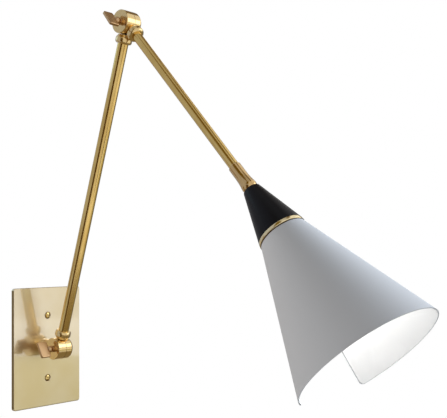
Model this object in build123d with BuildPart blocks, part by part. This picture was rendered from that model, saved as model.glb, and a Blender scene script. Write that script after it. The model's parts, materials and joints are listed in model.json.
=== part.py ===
"""Swing arm wall lamp: a brass plate, two friction swivels, two tubes and a cone shade on a ball joint.

Millimetres. The origin is the centre of the wall plate's back face, +Z is up, the wall is the plane Y = 0
and the lamp stands out along -Y. Both swivels turn about axes along X.
"""

import os
from math import asin, atan2, cos, radians, sin, sqrt, tan

from build123d import *

# Wall plate and its two screws
plate_width = 78.0
plate_height = 114.3
plate_thickness = 3.2
plate_corner_radius = 2.5
plate_edge_break = 0.4
screw_spacing = 60.3
plate_screw_diameter = 3.5
plate_screw_shank_diameter = 3.1
plate_screw_shank_tail = 0.5
plate_screw_head_diameter = 7.0
plate_screw_length = 22.0
plate_screw_crown = 0.8
plate_screw_slot_width = 1.0
plate_screw_slot_depth = 1.1
countersink_angle = 90.0
plate_screw_clearance = 0.2

# Friction swivels
pivot_standoff = 18.8
barrel_diameter = 20.4
barrel_half_length = 9.0
barrel_end_radius = 3.6
barrel_face_break = 0.4
barrel_pocket_depth = 5.0
barrel_rim_wall = 2.2
hub_diameter = 8.4
collar_diameter = 14.8
collar_length = 6.8
collar_edge_radius = 2.4
collar_foot_radius = 0.6
collar_fold_clearance = 0.6
neck_shoulder = 0.4
wire_hole_diameter = 3.2
friction_washer_thickness = 0.3
friction_washer_width = 1.6

# Threaded stem that holds the wall swivel in the plate
stem_diameter = 9.8
stem_bore_diameter = 6.0
lock_nut_flats = 14.0
lock_nut_thickness = 4.0
lock_washer_diameter = 16.0
lock_washer_thickness = 0.8
stem_tail = 2.0

# Wing screws
wing_shank_diameter = 5.0
wing_shank_depth = 6.0
wing_boss_diameter = 7.6
wing_boss_length = 6.5
wing_boss_edge_radius = 2.6
wing_boss_root_radius = 0.5
wing_boss_groove_width = 0.7
wing_boss_groove_depth = 0.6
wing_gap = 4.6
wing_length = 15.6
wing_width = 10.4
wing_thickness = 2.6
wing_corner_radius = 1.6
wing_edge_radius = 0.5
wing_recess_radius = 5.0
wing_recess_depth = 1.4
wall_wing_angle = 59.0
elbow_wing_angle = 51.0

# Arms
lower_arm_length = 307.4
lower_arm_lean = 17.9
lower_tube_diameter = 9.6
upper_arm_length = 203.6
upper_arm_drop = 47.3
upper_tube_diameter = 8.4
tube_wall = 0.9
tube_insertion = 5.4

# Ball joint at the end of the upper arm
ferrule_nose_diameter = 12.4
ferrule_start_diameter = 10.3
ferrule_length = 21.8
ferrule_bell_height = 12.0
ferrule_start_break = 0.4
ball_diameter = 8.0
ball_lip_diameter = 7.0
ball_neck_diameter = 4.6
ball_flare_diameter = 8.8
ball_bore_diameter = 2.6
ball_seat_length = 3.8
ball_seat_skirt = 1.2
dish_clearance = 0.3

# Shade head, measured along its own axis from the ball's centre
head_drop = 49.3
cap_top = 3.5
cap_top_diameter = 14.0
cap_bottom_diameter = 36.2
cap_length = 39.9
cap_wall = 1.2
cap_floor = 1.3
cap_edge_radius = 1.0
head_stem_diameter = 6.0
head_stem_collar_diameter = 6.6
head_stem_engagement = 6.0
head_nut_flats = 10.0
head_nut_thickness = 3.0
ring_height = 5.6
ring_lip_overlap = 2.0
ring_lip_thickness = 1.0
ring_groove_start = 3.5
ring_groove_width = 0.7
ring_groove_depth = 0.5
ring_proud = 0.15
ring_spigot_height = 2.0
ring_spigot_wall = 1.2
shade_top_diameter = 36.0
shade_rim_diameter = 114.6
shade_length = 116.0
shade_wall = 1.0
notch_angle = 69.0
notch_roll = 9.5
notch_depth = 43.0
notch_inner_radius = 5.0
notch_rim_radius = 4.0

# Lampholder and bulb
holder_diameter = 25.0
holder_top_diameter = 13.0
holder_top_height = 3.0
holder_taper_height = 9.0
holder_above_ring = 19.0
holder_below_ring = 20.0
holder_floor = 2.0
holder_contact_bore = 12.0
holder_contact_height = 4.0
shade_nut_height = 4.0
shade_nut_clearance = 0.5
screw_shell_diameter = 15.1
screw_shell_wall = 0.5
screw_shell_length = 22.0
contact_diameter = 6.4
contact_thickness = 1.2
contact_rivet_diameter = 3.0
bulb_base_diameter = 13.8
bulb_base_wall = 0.5
bulb_tip_diameter = 5.0
bulb_base_gap = 1.6
bulb_neck_diameter = 12.2
bulb_globe_diameter = 44.0
bulb_glass_wall = 0.8
bulb_length = 52.0

# Clearances
running_clearance = 0.05
seat_clearance = 0.03
sweep_clearance = 0.6

# Directions and joint centres
side = Vector(1, 0, 0)
to_wall = Vector(0, 1, 0)
lean = radians(lower_arm_lean)
drop = radians(upper_arm_drop)
tip_drop = radians(head_drop)
lower_dir = Vector(0, -sin(lean), cos(lean))
upper_dir = Vector(0, -cos(drop), -sin(drop))
head_dir = Vector(0, -cos(tip_drop), -sin(tip_drop))
wall_pivot = Vector(0, -plate_thickness - pivot_standoff, 0)
elbow_pivot = wall_pivot + lower_dir * lower_arm_length
ball_centre = elbow_pivot + upper_dir * upper_arm_length

# Sizes that follow from the ones above
barrel_radius = barrel_diameter / 2
collar_radius = collar_diameter / 2
neck_diameter = collar_diameter - 2 * (collar_edge_radius + neck_shoulder)
seam = friction_washer_thickness / 2 + running_clearance / 2
pocket_inner = hub_diameter / 2
pocket_outer = barrel_radius - barrel_rim_wall
wire_offset = seam + barrel_pocket_depth / 2
wing_hole_radius = wing_shank_diameter / 2 + running_clearance
half_fold = radians(90 - upper_arm_drop + lower_arm_lean) / 2
corner_reach = (collar_radius - collar_edge_radius) * cos(half_fold)
fold_reach = (collar_edge_radius + collar_fold_clearance / 2 + corner_reach) / sin(half_fold)
collar_start = max(barrel_radius + sweep_clearance, fold_reach - collar_edge_radius)
collar_end = collar_start + collar_length
tube_start = collar_end - tube_insertion
nose_radius = ferrule_nose_diameter / 2
ball_radius = ball_diameter / 2
ball_socket_radius = ball_radius + running_clearance
dish_radius = nose_radius + dish_clearance
stem_seat = dish_radius + running_clearance
ring_top = cap_top + cap_length
shade_top = ring_top + ring_height - ring_lip_overlap
shade_rim = shade_top + shade_length
shade_slope = (shade_rim_diameter - shade_top_diameter) / 2 / shade_length
cap_slope = (cap_bottom_diameter - cap_top_diameter) / 2 / cap_length
holder_top = ring_top - holder_above_ring
holder_end = ring_top + holder_below_ring
holder_radius = holder_diameter / 2
shell_radius = screw_shell_diameter / 2
shell_start = holder_end - screw_shell_length
contact_start = shell_start - holder_contact_height
bulb_base_radius = bulb_base_diameter / 2


def axis_plane(origin, along):
    """Half section of a turned piece: x is the radius, y runs along the axis."""
    return Plane(origin=origin, x_dir=side, z_dir=side.cross(along))


def cross_plane(origin, along, distance=0.0):
    """Plane square to an axis, a distance along it from the origin, with X of the lamp as its x."""
    return Plane(origin=origin + along * distance, x_dir=side, z_dir=along)


def shade_radius(height):
    """Outer radius of the cone shade at a height along the head's axis."""
    return shade_top_diameter / 2 + (height - shade_top) * shade_slope


def cap_radius(height):
    """Outer radius of the black cap at a height along the head's axis."""
    return cap_top_diameter / 2 + (height - cap_top) * cap_slope


def swivel_half(pivot, along, hand, collar_to, tube_diameter, end_radius=collar_edge_radius):
    """One cup of a friction swivel, on the hand side of the seam, with a collar that points along."""
    outward = side * hand
    section = Plane(origin=pivot, x_dir=along, z_dir=along.cross(outward))
    with BuildPart() as half:
        with BuildSketch(section):
            with BuildLine():
                Polyline(
                    (0, seam),
                    (barrel_radius, seam),
                    (barrel_radius, barrel_half_length),
                    (0, barrel_half_length),
                    close=True,
                )
            make_face()
        revolve(axis=Axis(pivot, side))
        outer_edge = half.edges().filter_by(GeomType.CIRCLE).sort_by(Axis(pivot, outward))[-1]
        if hand > 0:
            fillet(outer_edge, radius=barrel_end_radius)
        else:
            chamfer(outer_edge, length=barrel_face_break)
        # Neck on this side of the seam only, so that the other cup turns past it
        with BuildSketch(cross_plane(pivot, along)):
            Circle(neck_diameter / 2)
            with Locations((hand * (seam + neck_diameter / 2), 0)):
                Rectangle(neck_diameter, neck_diameter, mode=Mode.INTERSECT)
        extrude(amount=collar_start + collar_edge_radius)
        with BuildSketch(section):
            with BuildLine():
                Polyline(
                    (pocket_inner, seam),
                    (pocket_outer, seam),
                    (pocket_outer, seam + barrel_pocket_depth),
                    (pocket_inner, seam + barrel_pocket_depth),
                    close=True,
                )
            make_face()
        revolve(axis=Axis(pivot, side), mode=Mode.SUBTRACT)
        hole_depth = wing_shank_depth + running_clearance if hand > 0 else barrel_half_length
        with BuildSketch(Plane(origin=pivot, x_dir=along, z_dir=outward)):
            Circle(wing_hole_radius)
        extrude(amount=hole_depth, mode=Mode.SUBTRACT)
        with BuildSketch(axis_plane(pivot, along)) as collar:
            with BuildLine():
                Polyline(
                    (0, collar_start),
                    (collar_radius, collar_start),
                    (collar_radius, collar_to),
                    (0, collar_to),
                    close=True,
                )
            make_face()
            fillet(collar.vertices().group_by(Axis.X)[-1].sort_by(Axis.Y)[0], radius=collar_edge_radius)
            fillet(collar.vertices().group_by(Axis.X)[-1].sort_by(Axis.Y)[-1], radius=end_radius)
        revolve(axis=Axis(pivot, along))
        with BuildSketch(cross_plane(pivot, along, collar_to)):
            Circle(tube_diameter / 2 + seat_clearance)
        extrude(amount=-tube_insertion, mode=Mode.SUBTRACT)
        with BuildSketch(cross_plane(pivot, along, (pocket_inner + pocket_outer) / 2)):
            with Locations((hand * wire_offset, 0)):
                Circle(wire_hole_diameter / 2)
        extrude(amount=collar_to - tube_insertion / 2 - (pocket_inner + pocket_outer) / 2, mode=Mode.SUBTRACT)
    return half


def wing_screw(pivot, angle):
    """Thumb screw on the -X face of a swivel, its paddle's long side dropped by the angle."""
    turn = radians(angle)
    long_side = Vector(0, -cos(turn), -sin(turn))
    outward = -side
    flat = Plane(origin=pivot, x_dir=long_side, z_dir=long_side.cross(outward))
    face = barrel_half_length + running_clearance
    hub_root = wing_boss_diameter / 2 - wing_boss_groove_depth
    wing_start = barrel_half_length + wing_gap
    recess_centre = wing_start + wing_recess_depth - wing_recess_radius
    recess_half = sqrt(wing_recess_radius**2 - (wing_start - recess_centre) ** 2)
    with BuildPart() as screw:
        with BuildSketch(flat) as paddle:
            with Locations((0, wing_start + wing_width / 2)):
                RectangleRounded(wing_length, wing_width, wing_corner_radius)
            with Locations((0, recess_centre)):
                Circle(wing_recess_radius, mode=Mode.SUBTRACT)
            recess_corners = paddle.vertices().filter_by(lambda v: abs(abs(v.X) - recess_half) < 1e-6)
            fillet(recess_corners, radius=wing_corner_radius)
        extrude(amount=wing_thickness / 2, both=True)
        flats = screw.faces().sort_by(Axis(pivot, flat.z_dir))
        fillet(flats[0].edges() + flats[-1].edges(), radius=wing_edge_radius)
        with BuildSketch(flat) as hub:
            with BuildLine():
                Polyline(
                    (0, -wing_shank_depth),
                    (wing_shank_diameter / 2, -wing_shank_depth),
                    (wing_shank_diameter / 2, face),
                    (hub_root, face),
                    (hub_root, face + wing_boss_groove_width),
                    (wing_boss_diameter / 2, face + wing_boss_groove_width),
                    (wing_boss_diameter / 2, face + wing_boss_length),
                    (0, face + wing_boss_length),
                    close=True,
                )
            make_face()
            fillet(hub.vertices().group_by(Axis.X)[-1].sort_by(Axis.Y)[-1], radius=wing_boss_edge_radius)
            fillet(hub.vertices().group_by(Axis.X)[-1].sort_by(Axis.Y)[0], radius=wing_boss_root_radius)
        revolve(axis=Axis(pivot, side))
    return screw


def friction_washer(pivot):
    """Thin ring between the rims of the two cups of a swivel."""
    ring_plane = Plane(origin=pivot + side * seam, x_dir=to_wall, z_dir=-side)
    with BuildPart() as washer:
        with BuildSketch(ring_plane):
            Circle(pocket_outer + friction_washer_width)
            Circle(pocket_outer, mode=Mode.SUBTRACT)
        extrude(amount=friction_washer_thickness)
    return washer


def tube(origin, along, start, end, diameter):
    """Round tube along an arm, between two distances from its pivot."""
    with BuildPart() as pipe:
        with BuildSketch(cross_plane(origin, along, start)):
            Circle(diameter / 2)
            Circle(diameter / 2 - tube_wall, mode=Mode.SUBTRACT)
        extrude(amount=end - start)
    return pipe


# Wall plate: thin rounded rectangle with a countersunk hole above and below the swivel's stem
front = Plane.XZ.offset(plate_thickness)
with BuildPart() as wall_plate:
    with BuildSketch(Plane.XZ):
        RectangleRounded(plate_width, plate_height, plate_corner_radius)
    extrude(amount=plate_thickness)
    chamfer(wall_plate.faces().sort_by(Axis.Y)[0].edges(), length=plate_edge_break)
    with Locations(front):
        Hole(stem_diameter / 2 + seat_clearance)
        with GridLocations(plate_width, screw_spacing, 1, 2):
            CounterSinkHole(
                radius=plate_screw_diameter / 2 + plate_screw_clearance,
                counter_sink_radius=plate_screw_head_diameter / 2 + seat_clearance,
                counter_sink_angle=countersink_angle,
            )

# Plate screws: raised countersunk heads with a straight slot, the thread starting behind the plate
head_sink = (plate_screw_head_diameter - plate_screw_shank_diameter) / 2 / tan(radians(countersink_angle / 2))
thread_start = plate_thickness + plate_screw_shank_tail
with BuildPart() as plate_screws:
    for height in (screw_spacing / 2, -screw_spacing / 2):
        head_centre = Vector(0, -plate_thickness, height)
        with BuildSketch(axis_plane(head_centre, to_wall)):
            with BuildLine():
                ThreePointArc(
                    (plate_screw_head_diameter / 2, 0),
                    (plate_screw_head_diameter / 4, -plate_screw_crown * 0.75),
                    (0, -plate_screw_crown),
                )
                Polyline(
                    (0, -plate_screw_crown),
                    (0, plate_screw_length),
                    (plate_screw_diameter / 2, plate_screw_length - plate_screw_diameter / 2),
                    (plate_screw_diameter / 2, thread_start),
                    (plate_screw_shank_diameter / 2, thread_start),
                    (plate_screw_shank_diameter / 2, head_sink),
                    (plate_screw_head_diameter / 2, 0),
                )
            make_face()
        revolve(axis=Axis(head_centre, to_wall))
        with BuildSketch(cross_plane(head_centre, to_wall, -plate_screw_crown)):
            Rectangle(plate_screw_head_diameter, plate_screw_slot_width)
        extrude(amount=plate_screw_slot_depth, mode=Mode.SUBTRACT)

# Wall swivel: the -X cup stands on the plate and its stem passes through to a nut behind
stem_length = plate_thickness + lock_washer_thickness + lock_nut_thickness + stem_tail
base_half = swivel_half(wall_pivot, to_wall, -1, pivot_standoff, stem_bore_diameter, collar_foot_radius)
with BuildPart() as wall_swivel_base:
    add(base_half.part)
    with BuildSketch(cross_plane(wall_pivot, to_wall, pivot_standoff - collar_edge_radius)):
        Circle(stem_diameter / 2)
        Circle(stem_bore_diameter / 2 + seat_clearance, mode=Mode.SUBTRACT)
    extrude(amount=stem_length + collar_edge_radius)
wall_swivel_arm = swivel_half(wall_pivot, lower_dir, 1, collar_end, lower_tube_diameter)
wall_friction_washer = friction_washer(wall_pivot)
wall_wing_screw = wing_screw(wall_pivot, wall_wing_angle)

with BuildPart() as wall_lock_washer:
    with BuildSketch(cross_plane(Vector(0, 0, 0), to_wall)):
        Circle(lock_washer_diameter / 2)
        Circle(stem_diameter / 2 + seat_clearance, mode=Mode.SUBTRACT)
    extrude(amount=lock_washer_thickness)

with BuildPart() as wall_lock_nut:
    with BuildSketch(cross_plane(Vector(0, 0, 0), to_wall, lock_washer_thickness)):
        RegularPolygon(lock_nut_flats / 2, 6, major_radius=False)
        Circle(stem_diameter / 2 + seat_clearance, mode=Mode.SUBTRACT)
    extrude(amount=lock_nut_thickness)

# Lower arm and elbow: the lower arm carries the +X cup, the upper arm the -X cup
lower_arm_tube = tube(wall_pivot, lower_dir, tube_start, lower_arm_length - tube_start, lower_tube_diameter)
elbow_swivel_lower = swivel_half(elbow_pivot, -lower_dir, 1, collar_end, lower_tube_diameter)
elbow_swivel_upper = swivel_half(elbow_pivot, upper_dir, -1, collar_end, upper_tube_diameter)
elbow_friction_washer = friction_washer(elbow_pivot)
elbow_wing_screw = wing_screw(elbow_pivot, elbow_wing_angle)

# Upper arm: the tube runs into the ferrule and stops on the ball's seat
seat_top = -ball_seat_skirt - ball_seat_length
upper_tube_end = upper_arm_length + seat_top - running_clearance
upper_arm_tube = tube(elbow_pivot, upper_dir, tube_start, upper_tube_end, upper_tube_diameter)

# Ferrule: sleeve that flares into a spherical nose, open below so that the ball's neck can swing
bell_step = nose_radius - ferrule_start_diameter / 2
bell_reach = (ferrule_bell_height**2 + bell_step**2) / (2 * bell_step)
bell_radius = bell_reach - nose_radius
bell_angle = asin(ferrule_bell_height / bell_reach)
bell_start = (ferrule_start_diameter / 2, -ferrule_bell_height)
bell_middle = (
    ferrule_start_diameter / 2 + bell_radius * (1 - cos(bell_angle / 2)),
    -ferrule_bell_height + bell_radius * sin(bell_angle / 2),
)
bell_end = (nose_radius * cos(bell_angle), -nose_radius * sin(bell_angle))
flare_radius = ball_flare_diameter / 2
flare_height = sqrt(nose_radius**2 - flare_radius**2)
flare_turn = atan2(flare_height, flare_radius)
nose_middle = (nose_radius * cos(flare_turn / 2), nose_radius * sin(flare_turn / 2))
lip_radius = ball_lip_diameter / 2
lip_height = sqrt(ball_socket_radius**2 - lip_radius**2)
lip_turn = atan2(lip_height, lip_radius) / 2
socket_middle = (ball_socket_radius * cos(lip_turn), ball_socket_radius * sin(lip_turn))
ferrule_bore = upper_tube_diameter / 2 + seat_clearance
with BuildPart() as swivel_ferrule:
    with BuildSketch(axis_plane(ball_centre, upper_dir)):
        with BuildLine():
            Polyline(
                (ferrule_bore, 0),
                (ferrule_bore, -ferrule_length),
                (ferrule_start_diameter / 2 - ferrule_start_break / 2, -ferrule_length),
                (ferrule_start_diameter / 2, -ferrule_length + ferrule_start_break),
                bell_start,
            )
            ThreePointArc(bell_start, bell_middle, bell_end)
            ThreePointArc(bell_end, nose_middle, (flare_radius, flare_height))
            Line((flare_radius, flare_height), (lip_radius, lip_height))
            ThreePointArc((lip_radius, lip_height), socket_middle, (ball_socket_radius, 0))
            Line((ball_socket_radius, 0), (ferrule_bore, 0))
        make_face()
    revolve(axis=Axis(ball_centre, upper_dir))

# Ball seat: friction cup pressed on the ball by the end of the tube
seat_inner = ball_neck_diameter / 2
seat_outer = upper_tube_diameter / 2 - running_clearance
seat_edge = sqrt(ball_socket_radius**2 - ball_seat_skirt**2)
seat_hole_height = sqrt(ball_socket_radius**2 - seat_inner**2)
seat_turn = (atan2(ball_seat_skirt, seat_edge) + atan2(seat_hole_height, seat_inner)) / 2
with BuildPart() as ball_seat:
    with BuildSketch(axis_plane(ball_centre, upper_dir)):
        with BuildLine():
            Polyline(
                (seat_edge, -ball_seat_skirt),
                (seat_outer, -ball_seat_skirt),
                (seat_outer, seat_top),
                (seat_inner, seat_top),
                (seat_inner, -seat_hole_height),
            )
            ThreePointArc(
                (seat_inner, -seat_hole_height),
                (ball_socket_radius * cos(seat_turn), -ball_socket_radius * sin(seat_turn)),
                (seat_edge, -ball_seat_skirt),
            )
        make_face()
    revolve(axis=Axis(ball_centre, upper_dir))

# Ball stem: hollow ball, neck, collar in the cap's counterbore and thread down to the lampholder
with BuildPart() as ball_stem:
    with Locations(cross_plane(ball_centre, head_dir)):
        Sphere(ball_radius)
    with BuildSketch(cross_plane(ball_centre, head_dir)):
        Circle(ball_neck_diameter / 2)
    extrude(amount=stem_seat)
    with BuildSketch(cross_plane(ball_centre, head_dir, dish_radius - dish_clearance)):
        Circle(head_stem_collar_diameter / 2)
    extrude(amount=stem_seat - dish_radius + dish_clearance)
    with BuildSketch(cross_plane(ball_centre, head_dir, stem_seat)):
        Circle(head_stem_diameter / 2)
    extrude(amount=holder_top + head_stem_engagement - stem_seat)
    with BuildSketch(cross_plane(ball_centre, head_dir, -ball_radius)):
        Circle(ball_bore_diameter / 2)
    extrude(amount=ball_radius + holder_top + head_stem_engagement, mode=Mode.SUBTRACT)

# Cap: black cone with a dished top that the ferrule's nose swings in
dish_edge = sqrt(dish_radius**2 - cap_top**2)
counterbore = head_stem_collar_diameter / 2 + running_clearance
dish_foot = sqrt(dish_radius**2 - counterbore**2)
dish_turn = (atan2(cap_top, dish_edge) + atan2(dish_foot, counterbore)) / 2
cap_inside = stem_seat + cap_floor
cap_hole = head_stem_diameter / 2 + running_clearance
with BuildPart() as shade_cap:
    with BuildSketch(axis_plane(ball_centre, head_dir)):
        with BuildLine():
            Polyline(
                (dish_edge, cap_top),
                (cap_radius(cap_top), cap_top),
                (cap_radius(ring_top), ring_top),
                (cap_radius(ring_top) - cap_wall, ring_top),
                (cap_radius(cap_inside) - cap_wall, cap_inside),
                (cap_hole, cap_inside),
                (cap_hole, stem_seat),
                (counterbore, stem_seat),
                (counterbore, dish_foot),
            )
            ThreePointArc(
                (counterbore, dish_foot),
                (dish_radius * cos(dish_turn), dish_radius * sin(dish_turn)),
                (dish_edge, cap_top),
            )
        make_face()
    revolve(axis=Axis(ball_centre, head_dir))
    rim_edges = shade_cap.edges().filter_by(GeomType.CIRCLE)
    top_edge = rim_edges.filter_by(lambda e: abs(e.radius - cap_radius(cap_top)) < 1e-6)
    fillet(top_edge, radius=cap_edge_radius)

with BuildPart() as stem_nut:
    with BuildSketch(cross_plane(ball_centre, head_dir, cap_inside)):
        RegularPolygon(head_nut_flats / 2, 6, major_radius=False)
        Circle(cap_hole, mode=Mode.SUBTRACT)
    extrude(amount=head_nut_thickness)

# Trim ring: brass band with a groove and a lip that covers the top of the shade
lip_end = shade_top + ring_lip_overlap
lip_inner = shade_radius(lip_end) + running_clearance
lip_outer = lip_inner + ring_lip_thickness
groove_start = ring_top + ring_groove_start
groove_end = groove_start + ring_groove_width
spigot_start = ring_top - ring_spigot_height
spigot_outer = cap_radius(spigot_start) - cap_wall - running_clearance
with BuildPart() as trim_ring:
    with BuildSketch(axis_plane(ball_centre, head_dir)):
        with BuildLine():
            Polyline(
                (spigot_outer, ring_top),
                (cap_radius(ring_top) + ring_proud, ring_top),
                (lip_outer, groove_start),
                (lip_outer - ring_groove_depth, groove_start),
                (lip_outer - ring_groove_depth, groove_end),
                (lip_outer, groove_end),
                (lip_outer, lip_end),
                (lip_inner, lip_end),
                (lip_inner, shade_top),
                (spigot_outer - ring_spigot_wall, shade_top),
                (spigot_outer - ring_spigot_wall, spigot_start),
                (spigot_outer, spigot_start),
                close=True,
            )
        make_face()
    revolve(axis=Axis(ball_centre, head_dir))

# Shade: cone with an inner flange at the top and a notch in the rim, on the side towards the wall
flange_hole = holder_radius + shade_nut_clearance
notch_dir = Vector(0, sin(tip_drop), -cos(tip_drop)).rotate(Axis((0, 0, 0), head_dir), notch_roll)
notch_top = shade_rim - notch_depth
notch_sine = sin(radians(notch_angle / 2))
notch_inside = shade_radius(notch_top) / 2
notch_foot = notch_rim_radius * 2
with BuildPart() as shade:
    with BuildSketch(axis_plane(ball_centre, head_dir)):
        with BuildLine():
            Polyline(
                (flange_hole, shade_top),
                (shade_radius(shade_top), shade_top),
                (shade_radius(shade_rim), shade_rim),
                (shade_radius(shade_rim) - shade_wall, shade_rim),
                (shade_radius(shade_top + shade_wall) - shade_wall, shade_top + shade_wall),
                (flange_hole, shade_top + shade_wall),
                close=True,
            )
        make_face()
    revolve(axis=Axis(ball_centre, head_dir))
    with BuildSketch(
        Plane(
            origin=ball_centre + notch_dir * notch_inside,
            x_dir=head_dir.cross(notch_dir),
            z_dir=notch_dir,
        )
    ):
        top_half = shade_radius(notch_top) * notch_sine
        rim_half = shade_radius(shade_rim) * notch_sine
        with BuildLine():
            FilletPolyline(
                (-rim_half - notch_foot, shade_rim),
                (-rim_half, shade_rim),
                (-top_half, notch_top),
                (top_half, notch_top),
                (rim_half, shade_rim),
                (rim_half + notch_foot, shade_rim),
                radius=[notch_rim_radius, notch_inner_radius, notch_inner_radius, notch_rim_radius],
            )
            Polyline(
                (rim_half + notch_foot, shade_rim),
                (rim_half + notch_foot, shade_rim + notch_foot),
                (-rim_half - notch_foot, shade_rim + notch_foot),
                (-rim_half - notch_foot, shade_rim),
            )
        make_face()
    extrude(amount=shade_rim_diameter / 2, mode=Mode.SUBTRACT)

# Lampholder: moulded body on the stem's thread, through the ring and the shade's flange
with BuildPart() as lampholder_body:
    with BuildSketch(axis_plane(ball_centre, head_dir)):
        with BuildLine():
            Polyline(
                (cap_hole, holder_top),
                (holder_top_diameter / 2, holder_top),
                (holder_top_diameter / 2, holder_top + holder_top_height),
                (holder_radius, holder_top + holder_top_height + holder_taper_height),
                (holder_radius, holder_end),
                (shell_radius + seat_clearance, holder_end),
                (shell_radius + seat_clearance, shell_start),
                (holder_contact_bore / 2, shell_start),
                (holder_contact_bore / 2, contact_start),
                (contact_rivet_diameter / 2 + seat_clearance, contact_start),
                (contact_rivet_diameter / 2 + seat_clearance, contact_start - holder_floor),
                (cap_hole, contact_start - holder_floor),
                close=True,
            )
        make_face()
    revolve(axis=Axis(ball_centre, head_dir))

with BuildPart() as lampholder_shell:
    with BuildSketch(cross_plane(ball_centre, head_dir, shell_start)):
        Circle(shell_radius)
        Circle(shell_radius - screw_shell_wall, mode=Mode.SUBTRACT)
    extrude(amount=screw_shell_length)

with BuildPart() as lampholder_contact:
    with BuildSketch(cross_plane(ball_centre, head_dir, contact_start)):
        Circle(contact_diameter / 2)
    extrude(amount=contact_thickness)
    with BuildSketch(cross_plane(ball_centre, head_dir, contact_start - holder_floor)):
        Circle(contact_rivet_diameter / 2)
    extrude(amount=holder_floor)

# Shade nut: threaded ring that clamps the shade's flange, the trim ring and the cap together
nut_start = shade_top + shade_wall
nut_radius = shade_radius(nut_start) - shade_wall - shade_nut_clearance
with BuildPart() as shade_nut:
    with BuildSketch(cross_plane(ball_centre, head_dir, nut_start)):
        Circle(nut_radius)
        Circle(holder_radius + seat_clearance, mode=Mode.SUBTRACT)
    extrude(amount=shade_nut_height)

# Bulb: screw base with its tip on the contact, and a thin glass globe
bulb_tip = contact_start + contact_thickness
base_start = shell_start + bulb_base_gap
base_end = holder_end
with BuildPart() as bulb_base:
    with BuildSketch(axis_plane(ball_centre, head_dir)):
        with BuildLine():
            Polyline(
                (0, bulb_tip),
                (bulb_tip_diameter / 2, bulb_tip),
                (bulb_base_radius, base_start),
                (bulb_base_radius, base_end),
                (bulb_base_radius - bulb_base_wall, base_end),
                (bulb_base_radius - bulb_base_wall, base_start + bulb_base_wall),
                (0, base_start + bulb_base_wall),
                close=True,
            )
        make_face()
    revolve(axis=Axis(ball_centre, head_dir))

neck_radius = bulb_neck_diameter / 2
globe_radius = bulb_globe_diameter / 2
globe_centre = base_end + bulb_length - globe_radius
neck_start = base_end - bulb_neck_diameter / 2
globe_foot = globe_centre - sqrt(globe_radius**2 - neck_radius**2)
inner_globe = globe_radius - bulb_glass_wall
inner_neck = neck_radius - bulb_glass_wall
inner_foot = globe_centre - sqrt(inner_globe**2 - inner_neck**2)
with BuildPart() as bulb_glass:
    with BuildSketch(axis_plane(ball_centre, head_dir)):
        with BuildLine():
            Polyline((inner_neck, inner_foot), (inner_neck, neck_start), (neck_radius, neck_start))
            Line((neck_radius, neck_start), (neck_radius, globe_foot))
            ThreePointArc(
                (neck_radius, globe_foot), (globe_radius, globe_centre), (0, globe_centre + globe_radius)
            )
            Line((0, globe_centre + globe_radius), (0, globe_centre + inner_globe))
            ThreePointArc(
                (0, globe_centre + inner_globe), (inner_globe, globe_centre), (inner_neck, inner_foot)
            )
        make_face()
    revolve(axis=Axis(ball_centre, head_dir))

pieces = {
    "wall_plate": wall_plate,
    "plate_screws": plate_screws,
    "wall_swivel_base": wall_swivel_base,
    "wall_lock_washer": wall_lock_washer,
    "wall_lock_nut": wall_lock_nut,
    "wall_swivel_arm": wall_swivel_arm,
    "wall_friction_washer": wall_friction_washer,
    "wall_wing_screw": wall_wing_screw,
    "lower_arm_tube": lower_arm_tube,
    "elbow_swivel_lower": elbow_swivel_lower,
    "elbow_friction_washer": elbow_friction_washer,
    "elbow_wing_screw": elbow_wing_screw,
    "elbow_swivel_upper": elbow_swivel_upper,
    "upper_arm_tube": upper_arm_tube,
    "swivel_ferrule": swivel_ferrule,
    "ball_seat": ball_seat,
    "ball_stem": ball_stem,
    "stem_nut": stem_nut,
    "shade_cap": shade_cap,
    "trim_ring": trim_ring,
    "shade": shade,
    "lampholder_body": lampholder_body,
    "lampholder_shell": lampholder_shell,
    "lampholder_contact": lampholder_contact,
    "shade_nut": shade_nut,
    "bulb_base": bulb_base,
    "bulb_glass": bulb_glass,
}
os.makedirs("parts", exist_ok=True)
for name, piece in pieces.items():
    piece.part.label = name
    export_step(piece.part, f"parts/{name}.step")
print("ball centre", ball_centre, "elbow", elbow_pivot, "notch", notch_dir)
print("nodes", len(pieces))
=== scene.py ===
import json
from math import cos, radians, sin, sqrt, tan, tau

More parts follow.
